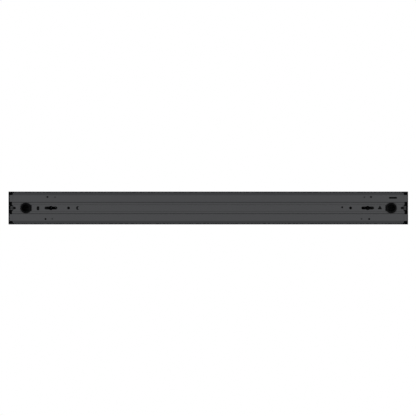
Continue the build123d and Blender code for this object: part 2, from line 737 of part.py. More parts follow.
def terminal_lever(pole):
    """A lever that lies flush in its slot and turns about the block's pin."""
    x, y = PIVOT
    with BuildPart() as lever:
        with BuildSketch(Plane.XY.offset(pole - LEVER_WIDTH / 2)):
            with Locations((x, y)):
                Circle(2.3)
            Polygon((x, y - 2.3), (x - 14, y - 2.3), (x - 17.5, y - 1.6), (x - 17.5, y - 0.8),
                    (x - 6, y - 0.2), (x, y + 1.5), align=None)
            with Locations((x, y)):
                Circle(PIVOT_PIN + 0.15, mode=Mode.SUBTRACT)
        extrude(amount=LEVER_WIDTH)
    return lever


for pole_name, pole in POLES.items():
    save(terminal_lever(pole), f"terminal_lever_{pole_name}")

CLAMP_PATH = [
    (BLOCK_LEFT + 9.0, 31.6),
    (BLOCK_LEFT + 19.2, 31.6),
    (BLOCK_LEFT + 19.2, 26.8),
    (BLOCK_LEFT + 9.0, 27.4),
]
with BuildPart() as terminal_clamps:
    for pole in POLES.values():
        with BuildSketch(Plane.XY.offset(pole - 2)):
            with BuildLine():
                FilletPolyline(*CLAMP_PATH, radius=0.8)
                offset(amount=0.4, side=Side.RIGHT)
            make_face()
        extrude(amount=4)
save(terminal_clamps, "terminal_clamps")

with BuildPart() as terminal_screws:
    for x, z in BLOCK_SCREWS:
        with Locations(Location((x, TRAY_REAR - 2.0, z), (90, 0, 0))):
            add(gear_screw)
save(terminal_screws, "terminal_screws")


# Earth tag and screw ----------------------------------------------------------------------------
TAG_THICK = 0.8
with BuildPart() as earth_tag:
    with BuildSketch(wall_plane(TRAY_REAR)):
        with Locations(EARTH_PLACE):
            Circle(4)
        with Locations((EARTH_PLACE[0], EARTH_PLACE[1] + 5)):
            Rectangle(3.6, 9)
        with Locations(EARTH_PLACE):
            Circle(1.8, mode=Mode.SUBTRACT)
    extrude(amount=TAG_THICK)
    with BuildSketch(Plane.XY.offset(EARTH_PLACE[1] + 7)):
        with Locations((EARTH_PLACE[0], TRAY_REAR - 2.2)):
            Circle(2.2)
    extrude(amount=6)
    with BuildSketch(Plane.XY.offset(EARTH_PLACE[1] + 7)):
        with Locations((EARTH_PLACE[0], TRAY_REAR - 2.2)):
            Circle(CORE_WIDTH / 2)
    extrude(amount=6, mode=Mode.SUBTRACT)
save(earth_tag, "earth_tag")

with BuildPart() as earth_screw:
    with Locations(Location((EARTH_PLACE[0], TRAY_REAR - TAG_THICK, EARTH_PLACE[1]), (90, 0, 0))):
        add(gear_screw)
save(earth_screw, "earth_screw")


# Grommet, leads and clips -----------------------------------------------------------------------
with BuildPart() as grommet:
    with BuildSketch(Plane.XZ):
        Polygon((3.4, -1.6), (7.0, -1.6), (7.0, 0), (GROMMET_RADIUS - 0.05, 0),
                (GROMMET_RADIUS - 0.05, TRAY_SHEET), (7.0, TRAY_SHEET), (7.0, 2.3), (3.4, 2.3),
                align=None)
    revolve(axis=Axis.Z)
with BuildPart() as tray_grommet:
    with Locations(Location((GROMMET_PLACE, TRAY_REAR, 0), (-90, 0, 0))):
        add(grommet)
save(tray_grommet, "tray_grommet")

line_lead = lead(
    [(BLOCK_RIGHT - 4, ENTRY_DEPTH, POLES["line"]), (BLOCK_RIGHT + 16, ENTRY_DEPTH, POLES["line"]),
     (BLOCK_RIGHT + 44, 25, 8.6), (DRIVER_LEFT - 18, 24, 6), (DRIVER_LEFT - 1, 24, 6)], CORE_WIDTH)
save(line_lead, "line_lead")
neutral_lead = lead(
    [(BLOCK_RIGHT - 4, ENTRY_DEPTH, POLES["neutral"]), (BLOCK_RIGHT + 16, ENTRY_DEPTH, POLES["neutral"]),
     (BLOCK_RIGHT + 44, 25, 1.4), (DRIVER_LEFT - 18, 24, -2), (DRIVER_LEFT - 1, 24, -2)], CORE_WIDTH)
save(neutral_lead, "neutral_lead")
earth_lead = lead(
    [(BLOCK_RIGHT - 4, ENTRY_DEPTH, POLES["earth"]), (BLOCK_RIGHT + 12, ENTRY_DEPTH, POLES["earth"]),
     (EARTH_PLACE[0] - 4, ENTRY_DEPTH, -10), (EARTH_PLACE[0], TRAY_REAR - 2.2, -13),
     (EARTH_PLACE[0], TRAY_REAR - 2.2, EARTH_PLACE[1] + 8)], CORE_WIDTH)
save(earth_lead, "earth_lead")


def output_lead(sign):
    """From the driver, through the grommet, to the feed connector of one row of boards."""
    return lead(
        [(DRIVER_RIGHT + 1, 23, sign * 4), (DRIVER_RIGHT + 10, 23, sign * 4),
         (GROMMET_PLACE, 26, sign * 1.7), (GROMMET_PLACE, 41, sign * 1.7),
         (GROMMET_PLACE + 6, 44, sign * 9),
         (FEED_PLACE - 14, 39, sign * BOARD_ROW), (FEED_PLACE - 5, 39, sign * BOARD_ROW)], PAIR_WIDTH)


output_lead_upper = output_lead(1)
save(output_lead_upper, "output_lead_upper")
output_lead_lower = output_lead(-1)
save(output_lead_lower, "output_lead_lower")


# Selector switches ------------------------------------------------------------------------------
HOUSING_SIZE = (32.0, 12.0)
HOUSING_FACE = 1.3
POCKET_FACE = 2.1
POCKET_BACK = 4.3
HOUSING_BACK = 7.3
KNOB_SIZE = (4.8, 4.4)
NIB_SIZE = (2.6, 2.2)
NIB_FACE = 0.3
SLOT_HEIGHT = 2.6
KNOBS = {"power": SELECTOR[0] - KNOB_PITCH / 2, "colour": SELECTOR[0] + KNOB_PITCH / 2}

with BuildPart() as selector_gasket:
    with BuildSketch(wall_plane(SHEET)):
        with Locations(SELECTOR):
            Rectangle(*HOUSING_SIZE)
            RectangleRounded(WINDOW[0] + 0.4, WINDOW[1] + 0.4, 1, mode=Mode.SUBTRACT)
    extrude(amount=SHEET - HOUSING_FACE)
save(selector_gasket, "selector_gasket")

with BuildPart() as selector_housing:
    with BuildSketch(wall_plane(HOUSING_FACE)):
        with Locations(SELECTOR):
            Rectangle(*HOUSING_SIZE)
    extrude(amount=HOUSING_FACE - HOUSING_BACK)
    with BuildSketch(wall_plane(0)):
        with Locations(SELECTOR):
            RectangleRounded(WINDOW[0] - 0.2, WINDOW[1] - 0.2, 0.9)
    extrude(amount=-HOUSING_FACE)
    with BuildSketch(wall_plane(POCKET_BACK)):
        with Locations(SELECTOR):
            Rectangle(24.4, 8)
    extrude(amount=POCKET_BACK - HOUSING_BACK, mode=Mode.SUBTRACT)
    for knob_x in KNOBS.values():
        with BuildSketch(wall_plane(POCKET_FACE)):
            with Locations((knob_x, SELECTOR[1])):
                Rectangle(KNOB_SIZE[0] + 2 * KNOB_TRAVEL + 0.4, KNOB_SIZE[1] + 0.4)
        extrude(amount=POCKET_FACE - POCKET_BACK, mode=Mode.SUBTRACT)
        with BuildSketch(wall_plane(0)):
            with Locations((knob_x, SELECTOR[1])):
                Rectangle(NIB_SIZE[0] + 2 * KNOB_TRAVEL + 0.4, SLOT_HEIGHT)
        extrude(amount=-POCKET_FACE, mode=Mode.SUBTRACT)
save(selector_housing, "selector_housing")


def selector_knob(x):
    """A slider with a ridged nib that a screwdriver tip moves between three places."""
    with BuildPart() as knob:
        with BuildSketch(wall_plane(POCKET_FACE + 0.1)):
            with Locations((x, SELECTOR[1])):
                Rectangle(*KNOB_SIZE)
        extrude(amount=-1.7)
        with BuildSketch(wall_plane(NIB_FACE)):
            with Locations((x, SELECTOR[1])):
                Rectangle(*NIB_SIZE)
        extrude(amount=NIB_FACE - POCKET_FACE - 0.1)
        with BuildSketch(wall_plane(NIB_FACE)):
            with Locations((x - 0.6, SELECTOR[1]), (x + 0.6, SELECTOR[1])):
                Rectangle(0.5, NIB_SIZE[1])
        extrude(amount=-0.4, mode=Mode.SUBTRACT)
    return knob


def selector_wiper(x):
    """The sprung contact under a knob."""
    with BuildPart() as wiper:
        with BuildSketch(Plane.XY.offset(SELECTOR[1] - 0.8)):
            with BuildLine():
                FilletPolyline((x - 2.0, 4.1), (x - 1.0, 4.1), (x, 7.1), (x + 1.0, 4.1),
                               (x + 2.0, 4.1), radius=0.3)
                offset(amount=0.15, side=Side.RIGHT)
            make_face()
        extrude(amount=1.6)
    return wiper


for knob_name, knob_x in KNOBS.items():
    save(selector_knob(knob_x), f"{knob_name}_knob")
    save(selector_wiper(knob_x), f"{knob_name}_wiper")

selector_board = block(
    (SELECTOR[0] - 15, SELECTOR[0] + 15),
    (HOUSING_BACK, HOUSING_BACK + 1.2),
    (SELECTOR[1] - 5.5, SELECTOR[1] + 5.5),
)
save(selector_board, "selector_board")

selector_lead = lead(
    [(SELECTOR[0] + 4, HOUSING_BACK + 1.2, SELECTOR[1]), (SELECTOR[0] + 4, 21, SELECTOR[1]),
     (SELECTOR[0] - 22, 27, SELECTOR[1] - 4), (SELECTOR[0] - 52, 29, 20), (SELECTOR[0] - 82, 29, 11),
     (SELECTOR[0] - 112, 29, 9.5), (DRIVER_RIGHT + 46, 29, 9.5), (DRIVER_RIGHT + 16, 22.5, 9.5),
     (DRIVER_RIGHT + 1, 22.5, 9.5)], RIBBON_WIDTH)
save(selector_lead, "selector_lead")

CLIP_PLACES = [DRIVER_RIGHT + 70, DRIVER_RIGHT + 150, DRIVER_RIGHT + 230]
with BuildPart() as lead_clips:
    for place in CLIP_PLACES:
        with BuildSketch(cross_plane(place)):
            with Locations((29, 9.5)):
                Circle(RIBBON_WIDTH / 2 + 1.3)
            with Locations((31.9, 9.5)):
                Rectangle(2.6, 4)
            with Locations((TRAY_REAR - 0.6, 9.5)):
                Rectangle(1.2, 12)
            with Locations((29, 9.5)):
                Circle(RIBBON_WIDTH / 2 + 0.1, mode=Mode.SUBTRACT)
            with Locations((26.6, 9.5)):
                Rectangle(3, 1.6, mode=Mode.SUBTRACT)
        extrude(amount=8)
save(lead_clips, "lead_clips")


# Lens and its clips -----------------------------------------------------------------------------
CLIP_PATH = [(38.7, 49.45), (29.5, 49.45), (29.5, 46.9), (37.0, 46.6), (38.7, 47.4)]
LENS_CLIP_PLACES = [MIDDLE + place for place in (-450, -150, 150, 450)]
LENS_CLIP_WIDTH = 12.0
with BuildPart() as lens_clips:
    for place in LENS_CLIP_PLACES:
        with BuildSketch(cross_plane(place - LENS_CLIP_WIDTH / 2)):
            with BuildLine():
                FilletPolyline(*CLIP_PATH, radius=0.7)
                offset(amount=0.35, side=Side.RIGHT)
            make_face()
        extrude(amount=LENS_CLIP_WIDTH)
    mirror(about=Plane.XY)
save(lens_clips, "lens_clips")

lens_sheet = folded(
    both_halves(LENS_HALF[::-1]), [0.4, 1.8, LENS_CORNER, LENS_CORNER, 1.8, 0.4], LENS_WALL, Side.RIGHT,
    LEFT_END + CAP_WALL + 0.4, RIGHT_END - LEFT_END - 2 * CAP_WALL - 0.8,
)
with BuildPart() as diffuser_lens:
    add(lens_sheet)
save(diffuser_lens, "diffuser_lens")
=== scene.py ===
import json
import math

import bmesh
import bpy
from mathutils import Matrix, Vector


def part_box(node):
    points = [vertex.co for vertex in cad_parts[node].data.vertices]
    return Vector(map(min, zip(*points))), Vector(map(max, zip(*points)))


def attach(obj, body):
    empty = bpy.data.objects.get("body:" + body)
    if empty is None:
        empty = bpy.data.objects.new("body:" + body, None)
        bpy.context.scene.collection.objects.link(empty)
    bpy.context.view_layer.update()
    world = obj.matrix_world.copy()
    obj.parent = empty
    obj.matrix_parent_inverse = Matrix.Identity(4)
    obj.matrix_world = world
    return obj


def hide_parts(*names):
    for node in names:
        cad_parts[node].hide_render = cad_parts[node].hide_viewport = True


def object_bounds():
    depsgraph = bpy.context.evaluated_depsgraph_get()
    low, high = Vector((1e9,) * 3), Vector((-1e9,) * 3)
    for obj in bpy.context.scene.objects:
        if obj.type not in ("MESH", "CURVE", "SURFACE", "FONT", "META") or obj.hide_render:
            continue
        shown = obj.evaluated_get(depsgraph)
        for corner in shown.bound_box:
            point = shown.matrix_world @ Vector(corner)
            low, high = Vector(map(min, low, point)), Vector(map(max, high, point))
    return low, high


# An LED strip batten seen square on to its back. Metres, in the frame of the CAD: +X along the
# batten, +Z up, -Y towards the wall that it is fixed to.
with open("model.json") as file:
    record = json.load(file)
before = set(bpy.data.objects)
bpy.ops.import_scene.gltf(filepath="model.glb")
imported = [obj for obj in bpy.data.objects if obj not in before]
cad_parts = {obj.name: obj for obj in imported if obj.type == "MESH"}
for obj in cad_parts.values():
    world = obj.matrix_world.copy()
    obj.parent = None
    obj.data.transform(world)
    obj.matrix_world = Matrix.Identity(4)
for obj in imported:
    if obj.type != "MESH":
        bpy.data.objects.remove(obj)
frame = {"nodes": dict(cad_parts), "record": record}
cad_low, cad_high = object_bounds()
MM = 0.001
scene = bpy.context.scene
nodes = frame["nodes"]

# Camera -----------------------------------------------------------------------------------------
LENGTH_SHARE = 0.96046  # how much of the picture's width the batten takes up
VIEW_OFFSET = 0.84 * MM  # the batten sits this much right of the picture's middle
VIEW_DISTANCE = 3.0
VIEW_REACH = 60.0

middle_x = (cad_low.x + cad_high.x) / 2
camera_data = bpy.data.cameras.new("camera")
camera_data.type = "ORTHO"
camera_data.ortho_scale = (cad_high.x - cad_low.x) / LENGTH_SHARE
camera_data.clip_end = VIEW_REACH
camera = bpy.data.objects.new("camera", camera_data)
scene.collection.objects.link(camera)
camera.location = (middle_x - VIEW_OFFSET, -VIEW_DISTANCE, (cad_low.z + cad_high.z) / 2)
camera.rotation_euler = (math.radians(90), 0, 0)
scene.camera = camera
scene.view_settings.view_transform = "Standard"


# Node material tools ----------------------------------------------------------------------------
class Shader:
    """A Principled material with short calls for the nodes that drive it."""

    def __init__(self, name, **sockets):
        self.material = bpy.data.materials.new(name)
        self.material.use_nodes = True
        self.tree = self.material.node_tree
        self.bsdf = self.tree.nodes["Principled BSDF"]
        self.normal = None
        self.place = self.tree.nodes.new("ShaderNodeTexCoord")
        for socket, value in sockets.items():
            self.bsdf.inputs[socket.replace("_", " ")].default_value = value

    def node(self, kind, **settings):
        made = self.tree.nodes.new(kind)
        for name, value in settings.items():
            setattr(made, name, value)
        return made

    def feed(self, socket, value):
        if isinstance(value, bpy.types.NodeSocket):
            self.tree.links.new(value, socket)
        else:
            socket.default_value = value

    def coordinates(self, stretch=(1, 1, 1)):
        scale = self.node("ShaderNodeVectorMath", operation="MULTIPLY")
        self.feed(scale.inputs[0], self.place.outputs["Object"])
        scale.inputs[1].default_value = stretch
        return scale.outputs[0]

    def noise(self, scale, detail=2.0, stretch=(1, 1, 1), distortion=0.0):
        noise = self.node("ShaderNodeTexNoise")
        self.feed(noise.inputs["Vector"], self.coordinates(stretch))
        noise.inputs["Scale"].default_value = scale
        noise.inputs["Detail"].default_value = detail
        noise.inputs["Distortion"].default_value = distortion
        return noise.outputs["Fac"]

    def cells(self, scale, output="Distance", feature="F1", stretch=(1, 1, 1)):
        cells = self.node("ShaderNodeTexVoronoi", feature=feature)
        self.feed(cells.inputs["Vector"], self.coordinates(stretch))
        cells.inputs["Scale"].default_value = scale
        return cells.outputs[output]

    def maths(self, operation, a, b=0.0, clamp=False):
        made = self.node("ShaderNodeMath", operation=operation, use_clamp=clamp)
        self.feed(made.inputs[0], a)
        self.feed(made.inputs[1], b)
        return made.outputs[0]

    def between(self, value, low, high, to_low=0.0, to_high=1.0):
        made = self.node("ShaderNodeMapRange", clamp=True)
        self.feed(made.inputs["Value"], value)
        for name, number in (("From Min", low), ("From Max", high), ("To Min", to_low), ("To Max", to_high)):
            made.inputs[name].default_value = number
        return made.outputs["Result"]

    def mix(self, share, a, b):
        made = self.node("ShaderNodeMix", data_type="RGBA")
        self.feed(made.inputs["Factor"], share)
        for socket, colour in ((made.inputs[6], a), (made.inputs[7], b)):
            self.feed(socket, (*colour, 1) if isinstance(colour, (tuple, list)) else colour)
        return made.outputs[2]

    def axis(self, vector, index):
        made = self.node("ShaderNodeSeparateXYZ")
        self.feed(made.inputs[0], vector)
        return made.outputs[index]

    def colour(self, value):
        self.feed(self.bsdf.inputs["Base Color"], value)
        return self

    def roughness(self, value):
        self.feed(self.bsdf.inputs["Roughness"], value)
        return self

    def rough_between(self, low, high, scale, detail=2.0):
        """Roughness that wanders between two limits over the surface."""
        return self.roughness(self.between(self.noise(scale, detail), 0.3, 0.7, low, high))

    def bump(self, height, distance, strength=1.0):
        made = self.node("ShaderNodeBump")
        made.inputs["Strength"].default_value = strength
        made.inputs["Distance"].default_value = distance
        self.feed(made.inputs["Height"], height)
        if self.normal:
            self.feed(made.inputs["Normal"], self.normal)
        self.normal = made.outputs[0]
        self.feed(self.bsdf.inputs["Normal"], self.normal)
        return self


def grey_paint():
    """Matt dark grey powder coat on folded steel: orange peel, a fine speckle and faint handling marks."""
    s = Shader("grey_paint", Specular_IOR_Level=0.12)
    drift = s.noise(5.0, 3.0, (0.4, 2.0, 2.0))
    speckle = s.noise(1900.0, 1.0)
    coat = s.mix(drift, (0.099, 0.099, 0.101), (0.109, 0.109, 0.110))
    coat = s.mix(s.between(speckle, 0.35, 0.72), coat, (0.126, 0.126, 0.128))
    scratches = s.noise(14.0, 5.0, (0.6, 20.0, 46.0), 0.6)
    marks = s.maths("MULTIPLY", s.between(scratches, 0.66, 0.72), s.between(s.noise(3.2, 2.0), 0.45, 0.62))
    s.colour(s.mix(s.maths("MULTIPLY", marks, 0.22), coat, (0.19, 0.19, 0.19)))
    s.rough_between(0.56, 0.66, 240.0, 3.0)
    s.bump(s.noise(620.0, 2.0), 0.00006, 0.5)
    s.bump(s.cells(1500.0), 0.00002, 0.3)
    return s.material


def moulded(name, colour, roughness, grain=1700.0, depth=0.00003, tint=0.25, **sockets):
    """Moulded plastic with a spark-eroded texture and a slight drift of tone."""
    s = Shader(name, **sockets)
    lighter = tuple(min(1.0, c * (1 + tint)) for c in colour)
    s.colour(s.mix(s.noise(60.0, 3.0), colour, lighter))
    s.rough_between(roughness - 0.06, roughness + 0.08, grain * 0.3, 3.0)
    s.bump(s.cells(grain), depth, 0.6)
    s.bump(s.noise(34.0, 2.0), 0.0002, 0.12)
    return s.material


def zinc_steel():
    """Galvanised sheet: soft spangle, rolling lines and small scuffs."""
    s = Shader("zinc_steel", Metallic=1.0)
    spangle = s.cells(120.0, "Color")
    tone = s.axis(spangle, 0)
    rolled = s.noise(30.0, 4.0, (0.3, 30.0, 30.0))
    base = s.mix(tone, (0.50, 0.51, 0.52), (0.66, 0.67, 0.68))
    s.colour(s.mix(s.between(rolled, 0.3, 0.8), base, (0.60, 0.60, 0.60)))
    s.roughness(s.between(s.maths("ADD", tone, rolled), 0.4, 1.5, 0.26, 0.44))
    s.bump(rolled, 0.00002, 0.4)
    s.bump(s.noise(900.0, 2.0), 0.00001, 0.3)
    return s.material


def white_paint():
    """Glossy white enamel on the room side of the sheet, with a backing coat behind that is painted near
    black, far darker than coil steel's grey backing, as painted shade for the dark inside of the channel seen
    through the holes.
    """
    s = Shader("white_paint", Specular_IOR_Level=0.5)
    faces = s.axis(s.place.outputs["Normal"], 1)
    front = s.between(faces, -0.35, -0.25)
    white = s.mix(s.noise(9.0, 3.0), (0.70, 0.70, 0.685), (0.74, 0.74, 0.725))
    # Near-black backing colour: painted shade standing in for the unlit inside of the channel behind the
    # holes, over a real backing coat.
    backing_painted_shade = s.mix(s.noise(300.0, 3.0), (0.012, 0.012, 0.013), (0.020, 0.020, 0.021))
    s.colour(s.mix(front, backing_painted_shade, white))
    gloss = s.between(s.noise(160.0, 3.0), 0.3, 0.7, 0.26, 0.36)
    s.roughness(s.maths("ADD", gloss, s.between(front, 0, 1, 0.3, 0.0)))
    s.bump(s.noise(420.0, 2.0), 0.00005, 0.35)
    return s.material


def board_white():
    """White solder mask over woven laminate."""
    s = Shader("board_white", Specular_IOR_Level=0.5)
    weave_x = s.between(s.noise(1500.0, 1.0, (1, 0.05, 0.05)), 0.4, 0.6)
    weave_z = s.between(s.noise(1500.0, 1.0, (0.05, 0.05, 1)), 0.4, 0.6)
    weave = s.maths("MULTIPLY", weave_x, weave_z)
    s.colour(s.mix(weave, (0.78, 0.79, 0.77), (0.84, 0.85, 0.83)))
    s.rough_between(0.30, 0.42, 500.0, 2.0)
    s.bump(weave, 0.00001, 0.4)
    return s.material


def opal():
    """Extruded opal polycarbonate: light scatters inside it, and fine die lines run along it."""
    s = Shader("opal", Specular_IOR_Level=0.5, Subsurface_Weight=0.45, Subsurface_Scale=0.006,
               Subsurface_Radius=(1.0, 0.95, 0.9), Transmission_Weight=0.0)
    s.colour(s.mix(s.noise(4.0, 2.0, (0.5, 3.0, 3.0)), (0.86, 0.865, 0.85), (0.90, 0.90, 0.885)))
    lines = s.noise(60.0, 3.0, (0.08, 18.0, 18.0))
    s.roughness(s.between(lines, 0.3, 0.7, 0.26, 0.36))
    s.bump(lines, 0.00003, 0.3)
    return s.material


def circuit_green():
    """Green solder mask with the tracks showing faintly through it."""
    s = Shader("circuit_green", Specular_IOR_Level=0.5)
    tracks = s.cells(260.0, "Distance", "DISTANCE_TO_EDGE", (0.4, 1, 1.2))
    mask = s.between(tracks, 0.06, 0.10)
    s.colour(s.mix(mask, (0.05, 0.26, 0.10), (0.016, 0.12, 0.045)))
    s.rough_between(0.25, 0.4, 300.0, 2.0)
    s.bump(mask, 0.00003, -0.5)
    return s.material


def sintered(name, dark, light, roughness):
    """Ferrite and other ceramics: a dull pitted grain."""
    s = Shader(name)
    s.colour(s.mix(s.noise(700.0, 4.0), dark, light))
    s.rough_between(roughness - 0.08, roughness + 0.08, 200.0, 2.0)
    s.bump(s.noise(1100.0, 3.0), 0.00008, 0.5)
    return s.material


def copper():
    """Tinned and bright spring copper with a little tarnish."""
    s = Shader("copper", Metallic=1.0)
    tarnish = s.between(s.noise(220.0, 4.0), 0.42, 0.72)
    s.colour(s.mix(tarnish, (0.80, 0.46, 0.27), (0.42, 0.24, 0.15)))
    s.roughness(s.between(tarnish, 0, 1, 0.24, 0.46))
    s.bump(s.noise(30.0, 3.0, (1, 40, 40)), 0.00001, 0.4)
    return s.material


def insulation(name, colour):
    """PVC wire covering: a soft gloss with extrusion ripples."""
    s = Shader(name, Specular_IOR_Level=0.5)
    paler = tuple(min(1.0, c * 1.18 + 0.004) for c in colour)
    s.colour(s.mix(s.noise(120.0, 3.0), colour, paler))
    s.rough_between(0.34, 0.46, 700.0, 2.0)
    s.bump(s.noise(900.0, 2.0), 0.00003, 0.35)
    return s.material


def foam():
    """Closed-cell gasket foam."""
    s = Shader("gasket_foam", Specular_IOR_Level=0.2)
    pores = s.cells(1600.0)
    # The pits of the cells, where the bump sinks, are painted darker than the cell walls: painted shade in
    # the pores over the foam's own black.
    s.colour(s.mix(s.between(pores, 0.1, 0.6), (0.008, 0.008, 0.008), (0.035, 0.035, 0.035)))
    s.roughness(s.between(pores, 0.0, 0.7, 0.95, 0.8))
    s.bump(pores, 0.0002, 0.8)
    return s.material


def screw_black():
    """Black oxide steel: dull and oily, with paler worn patches."""
    s = Shader("black_screw", Specular_IOR_Level=0.12)
    worn = s.between(s.noise(800.0, 4.0), 0.58, 0.75)
    s.colour(s.mix(worn, (0.0015, 0.0015, 0.0017), (0.006, 0.006, 0.0065)))
    s.roughness(s.between(worn, 0, 1, 0.6, 0.45))
    s.bump(s.noise(1500.0, 2.0), 0.00002, 0.4)
    return s.material


def phosphate():
    """Dark phosphated steel rivets, burnished a little where they were set."""
    s = Shader("rivet_steel", Specular_IOR_Level=0.3)
    rubbed = s.between(s.noise(600.0, 3.0), 0.5, 0.7)
    s.colour(s.mix(rubbed, (0.036, 0.036, 0.038), (0.052, 0.052, 0.054)))
    s.roughness(s.between(rubbed, 0, 1, 0.58, 0.46))
    s.bump(s.noise(1300.0, 2.0), 0.00003, 0.4)
    return s.material


def sleeve():
    """Heat-shrunk capacitor sleeve with a bright metal top on the end faces."""
    s = Shader("capacitor_sleeve", Specular_IOR_Level=0.5)
    facing = s.maths("ABSOLUTE", s.axis(s.place.outputs["Normal"], 0))
    top = s.between(facing, 0.75, 0.85)
    s.colour(s.mix(top, s.mix(s.noise(90.0), (0.012, 0.016, 0.05), (0.02, 0.028, 0.075)), (0.55, 0.55, 0.56)))
    s.feed(s.bsdf.inputs["Metallic"], top)
    s.rough_between(0.26, 0.38, 400.0, 2.0)
    s.bump(s.noise(200.0, 2.0), 0.00006, 0.3)
    return s.material


def phosphor():
    """The silicone and phosphor over an LED's chip."""
    s = Shader("led_yellow", Specular_IOR_Level=0.5, Coat_Weight=0.6, Coat_Roughness=0.08)
    s.colour(s.mix(s.noise(1400.0, 3.0), (0.86, 0.60, 0.08), (0.92, 0.72, 0.20)))
    s.rough_between(0.3, 0.42, 900.0)
    s.bump(s.noise(1600.0, 2.0), 0.00002, 0.4)
    return s.material


def tin():
    """Soft solder: bright, rounded and slightly grainy."""
    s = Shader("tin", Metallic=0.6)
    s.colour(s.mix(s.noise(900.0, 3.0), (0.60, 0.60, 0.59), (0.74, 0.74, 0.73)))
    s.rough_between(0.36, 0.50, 700.0, 2.0)
    s.bump(s.noise(1300.0, 2.0), 0.00002, 0.4)
    return s.material


LOOKS = {
    "grey_paint": grey_paint(),
    "black_plastic": moulded("black_plastic", (0.0022, 0.0022, 0.0024), 0.56, Specular_IOR_Level=0.11),
    "black_screw": screw_black(),
    "rivet_steel": phosphate(),
    "zinc_steel": zinc_steel(),
    "white_paint": white_paint(),
    "board_white": board_white(),
    "led_yellow": phosphor(),
    "white_plastic": moulded("white_plastic", (0.74, 0.74, 0.715), 0.38, 900.0, 0.00002, 0.06,
                             Specular_IOR_Level=0.5),
    "opal": opal(),
    "circuit_green": circuit_green(),
    "ferrite": sintered("ferrite", (0.018, 0.018, 0.020), (0.045, 0.045, 0.048), 0.62),
    "capacitor_sleeve": sleeve(),
    "copper": copper(),
    "grey_plastic": moulded("grey_plastic", (0.42, 0.43, 0.44), 0.42, 1100.0, 0.00002, 0.08,
                            Specular_IOR_Level=0.5),
    "orange_plastic": moulded("orange_plastic", (0.80, 0.22, 0.025), 0.36, 1100.0, 0.00002, 0.08,
                              Specular_IOR_Level=0.5),
    "lead_black": insulation("lead_black", (0.014, 0.014, 0.015)),
    "lead_white": insulation("lead_white", (0.70, 0.70, 0.68)),
    "lead_green": insulation("lead_green", (0.02, 0.27, 0.06)),
    "gasket_foam": foam(),
}
TIN = tin()
node_slots = {part["node"]: part["material_slot"] for part in frame["record"]["subparts"]}


def dress(node, material):
    """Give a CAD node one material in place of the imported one."""
    mesh = nodes[node].data
    mesh.materials.clear()
    mesh.materials.append(material)


for node, slot in node_slots.items():
    dress(node, LOOKS[slot])


# Pieces made here: LEDs, board details and leads ---------------------------------------------------
LED_LENGTH = 3.5 * MM
LED_WIDTH = 2.8 * MM
LED_COUNT = 28
MASK_RISE = 0.035 * MM
COPPER_NEAR = 0.35 * MM
COPPER_FAR = 5.6 * MM
COPPER_GAP = 1.1 * MM
COPPER_SHIFT = 0.9 * MM
RIVET_ROOM = 3.2 * MM
RESISTOR = (1.05 * MM, 0.45 * MM, 0.55 * MM)
RESISTOR_EVERY = 7
RESISTOR_HEIGHT = 3.0 * MM  # above the row's middle
RIVET_STEPS = (-4, 4, 12)  # in LED pitches, outwards from a board's middle
PAD_FROM_END = 8 * MM
PAD_HEIGHT = 4.4 * MM
PAD_RINGS = ((0.0, 1.5), (0.06, 1.5), (0.20, 1.1), (0.24, 0.8))  # rise and half length, millimetres
FOOT_HEIGHT = 0.62 * MM


def rounded_ring(x, z, y, half_x, half_z, corner, steps=2):
    """Points round a rectangle with rounded corners, on a plane parallel to the wall."""
    points = []
    for quarter, (sign_x, sign_z) in enumerate(((1, 1), (-1, 1), (-1, -1), (1, -1))):
        for step in range(steps + 1):
            turn = math.radians(90 * (quarter + step / steps))
            points.append((x + sign_x * (half_x - corner) + corner * math.cos(turn), y,
                           z + sign_z * (half_z - corner) + corner * math.sin(turn)))
    return points


def loft(bm, rings, bands):
    """Skin a stack of rings, with a material number for each band, and close both ends."""
    rows = [[bm.verts.new(point) for point in ring] for ring in rings]
    for below, above, band in zip(rows, rows[1:], bands):
        for i in range(len(below)):
            j = (i + 1) % len(below)
            bm.faces.new((below[i], below[j], above[j], above[i])).material_index = band
    bm.faces.new(rows[-1]).material_index = bands[-1]
    bm.faces.new(rows[0][::-1]).material_index = bands[0]


def chip(bm, middle, half_x, half_z, foot, height, band, edge):
    """A small block with broken edges that stands on the board at (x, z) and faces the room."""
    x, z = middle
    loft(bm, [
        rounded_ring(x, z, foot, half_x, half_z, edge),
        rounded_ring(x, z, foot + height - edge, half_x, half_z, edge),
        rounded_ring(x, z, foot + height, half_x - edge, half_z - edge, edge * 0.5),
    ], (band, band))


def piece_from(bm, name, materials, replaced=()):
    """Turn a bmesh into a piece of the batten's body."""
    bmesh.ops.recalc_face_normals(bm, faces=bm.faces)
    mesh = bpy.data.meshes.new(name)
    bm.to_mesh(mesh)
    bm.free()
    for material in materials:
        mesh.materials.append(material)
    piece = bpy.data.objects.new(name, mesh)
    scene.collection.objects.link(piece)
    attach(piece, "root")
    if replaced:
        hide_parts(*replaced)
    return piece


def led_places(board):
    """The middles of one board's LEDs along X, their height, and the depths of their feet and tops."""
    low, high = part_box(f"led_packages_{board}")
    pitch = (high.x - low.x - LED_LENGTH) / (LED_COUNT - 1)
    middles = [low.x + LED_LENGTH / 2 + i * pitch for i in range(LED_COUNT)]
    return middles, pitch, (low.z + high.z) / 2, low.y, high.y


LED_RINGS = (  # depth from the foot or the top, how far inside the outline, corner radius; millimetres
    ("foot", 0.05, 0.10, 0.15), ("foot", 0.30, 0.00, 0.18),
    ("top", -0.07, 0.02, 0.18), ("top", 0.00, 0.09, 0.16), ("top", 0.00, 0.34, 0.45),
    ("top", -0.22, 0.48, 0.50), ("top", -0.17, 0.80, 0.40), ("top", -0.15, 1.05, 0.20),
)
LED_BANDS = (0, 0, 0, 0, 0, 1, 1)


